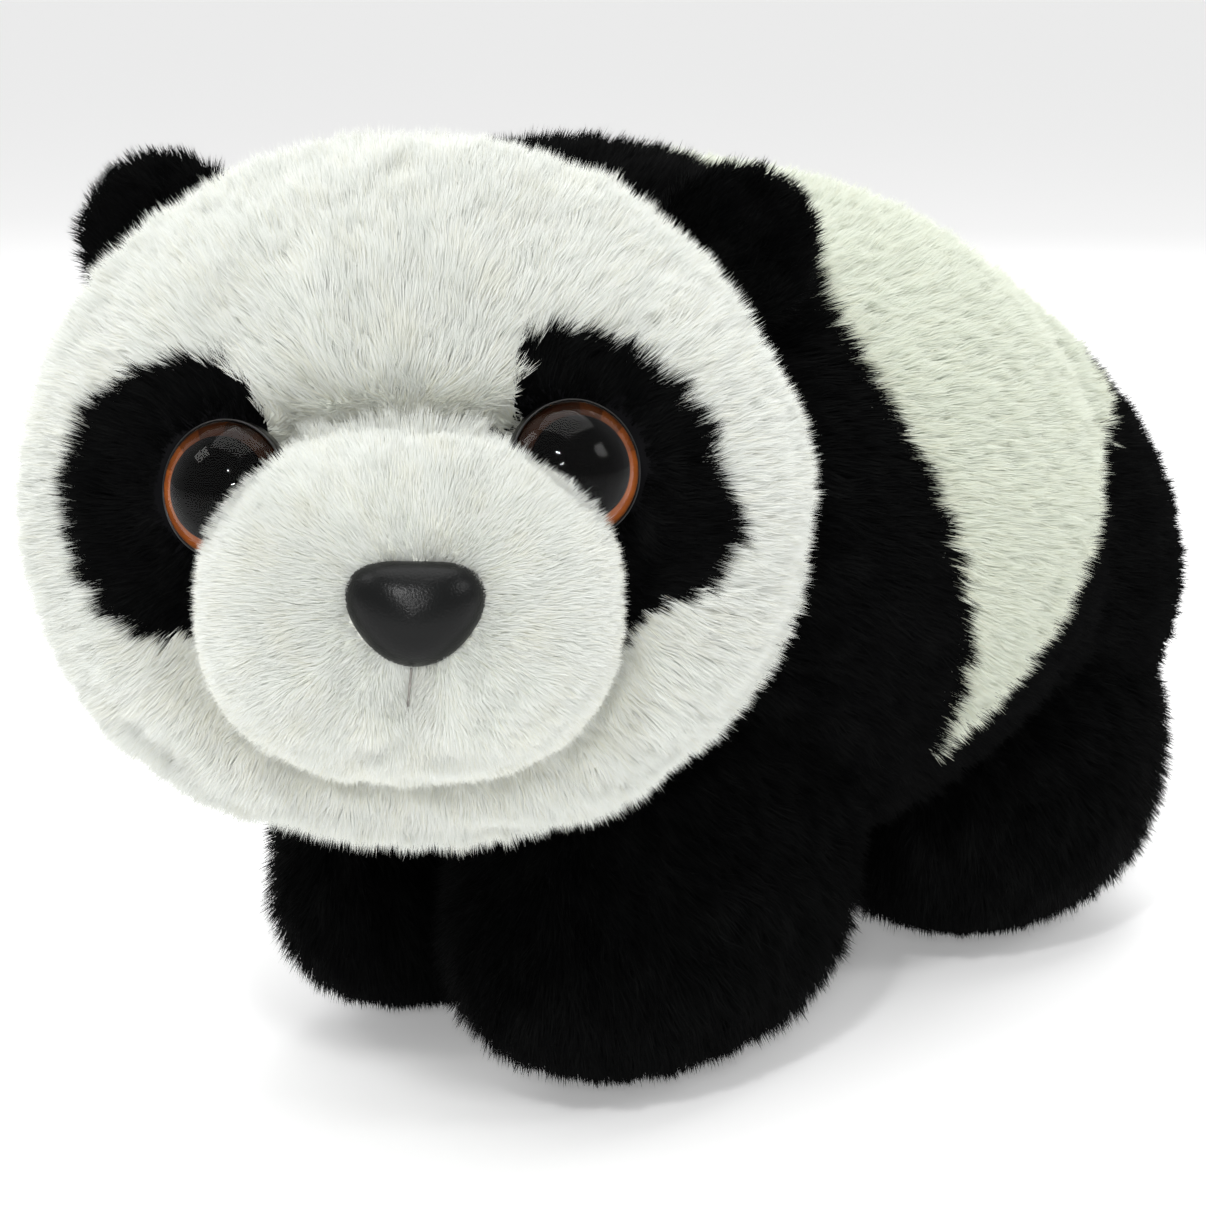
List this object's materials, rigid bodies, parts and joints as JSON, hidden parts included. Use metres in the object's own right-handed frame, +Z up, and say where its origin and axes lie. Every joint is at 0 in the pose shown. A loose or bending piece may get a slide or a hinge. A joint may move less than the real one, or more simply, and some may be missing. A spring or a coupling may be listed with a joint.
{
  "type": "plush panda",
  "caption": "Stuffed plush panda standing on four stubby paws, head turned to its left, with black ears, eye patches and legs, a white saddle and a soft muzzle.",
  "frame": {"origin": "middle of the footprint box, on the floor under the soles", "axes": "the body faces -Y, the panda's left side is +X, +Z is up; the head is turned about 38 degrees towards +X"},
  "size_m": [0.1656, 0.3036, 0.1749],
  "materials": {
    "white_plush": "soft cut pile, five to six millimetres",
    "white_short_plush": "short velvety pile",
    "black_plush": "soft cut pile, five to six millimetres",
    "stuffing": "loose polyester fibre",
    "eye_clear": "polished clear dome",
    "eye_iris": "glossy brown",
    "eye_black": "glossy black",
    "nose_plastic": "satin, fine leather grain",
    "post_plastic": "moulded",
    "washer_plastic": "moulded",
    "thread": "fine twisted thread"
  },
  "bodies": {
    "torso": {"shoulder_panel": "black_plush", "saddle_panel": "white_plush", "rump_panel": "black_plush", "torso_fill": "stuffing"},
    "neck": {"neck_collar": "black_plush"},
    "head": {"head_front_panel": "white_plush", "head_back_panel": "white_plush", "head_fill": "stuffing", "eye_patch_left": "black_plush", "eye_patch_right": "black_plush", "muzzle_cover": "white_short_plush", "muzzle_fill": "stuffing", "nose_cap": "nose_plastic", "nose_shank": "post_plastic", "nose_washer": "washer_plastic", "mouth_stitch": "thread", "eye_left_lens": "eye_clear", "eye_left_iris": "eye_iris", "eye_left_pupil": "eye_black", "eye_left_shank": "post_plastic", "eye_left_washer": "washer_plastic", "eye_right_lens": "eye_clear", "eye_right_iris": "eye_iris", "eye_right_pupil": "eye_black", "eye_right_shank": "post_plastic", "eye_right_washer": "washer_plastic"},
    "ear_left": {"ear_left_front": "black_plush", "ear_left_back": "black_plush"},
    "ear_right": {"ear_right_front": "black_plush", "ear_right_back": "black_plush"},
    "leg_front_left": {"leg_front_left_cover": "black_plush", "leg_front_left_fill": "stuffing"},
    "leg_front_right": {"leg_front_right_cover": "black_plush", "leg_front_right_fill": "stuffing"},
    "leg_rear_left": {"leg_rear_left_cover": "black_plush", "leg_rear_left_fill": "stuffing"},
    "leg_rear_right": {"leg_rear_right_cover": "black_plush", "leg_rear_right_fill": "stuffing"}
  },
  "joints": [
    {"name": "neck_turn", "type": "hinge", "parent": "torso", "child": "neck", "pos_m": [0.0174, -0.0824, 0.1142], "axis": [0, 0, 1], "range_deg": [-20, 6], "stiffness_Nm_per_rad": 0.9},
    {"name": "head_nod", "type": "hinge", "parent": "neck", "child": "head", "pos_m": [0.0174, -0.0824, 0.1142], "axis": [0.7891, 0.6143, 0], "range_deg": [-8, 8], "stiffness_Nm_per_rad": 0.9},
    {"name": "ear_fold_left", "type": "hinge", "parent": "head", "child": "ear_left", "pos_m": [0.04397, -0.03692, 0.15268], "axis": [-0.6258, -0.3522, 0.6959], "range_deg": [-20, 20], "stiffness_Nm_per_rad": 0.03},
    {"name": "ear_fold_right", "type": "hinge", "parent": "head", "child": "ear_right", "pos_m": [-0.03612, -0.08214, 0.15094], "axis": [0.5423, 0.546, 0.6385], "range_deg": [-20, 20], "stiffness_Nm_per_rad": 0.03},
    {"name": "leg_swing_front_left", "type": "hinge", "parent": "torso", "child": "leg_front_left", "pos_m": [0.0264, -0.0208, 0.041], "axis": [1, 0, 0], "range_deg": [-3, 8], "stiffness_Nm_per_rad": 2.5},
    {"name": "leg_swing_front_right", "type": "hinge", "parent": "torso", "child": "leg_front_right", "pos_m": [-0.0306, -0.0148, 0.041], "axis": [1, 0, 0], "range_deg": [-3, 8], "stiffness_Nm_per_rad": 2.5},
    {"name": "leg_swing_rear_left", "type": "hinge", "parent": "torso", "child": "leg_rear_left", "pos_m": [0.0304, 0.0852, 0.045], "axis": [1, 0, 0], "range_deg": [-8, 8], "stiffness_Nm_per_rad": 2.5},
    {"name": "leg_swing_rear_right", "type": "hinge", "parent": "torso", "child": "leg_rear_right", "pos_m": [-0.0396, 0.0852, 0.045], "axis": [1, 0, 0], "range_deg": [-8, 8], "stiffness_Nm_per_rad": 2.5}
  ]
}
